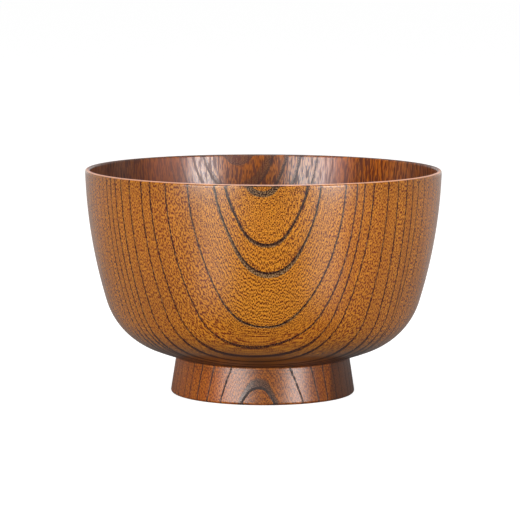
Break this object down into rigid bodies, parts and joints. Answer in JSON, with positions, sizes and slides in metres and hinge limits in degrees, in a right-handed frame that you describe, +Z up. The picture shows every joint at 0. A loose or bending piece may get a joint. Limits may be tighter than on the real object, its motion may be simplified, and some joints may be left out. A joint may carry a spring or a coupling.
{
  "type": "soup bowl",
  "caption": "Deep turned wooden soup bowl with a thin round lip, a rounded haunch and a flared foot ring, clear lacquered.",
  "frame": {"origin": "centre of the foot ring's base, on the table", "axes": "+Z up along the bowl's axis, -Y towards the viewer of the picture, +X to the viewer's right"},
  "size_m": [0.12, 0.12, 0.0757],
  "materials": {
    "lacquered_wood": "clear wiped lacquer with a soft gloss over ring-porous wood, dark ring lines and fine open pores"
  },
  "bodies": {
    "root": {"bowl": "lacquered_wood"}
  },
  "joints": []
}
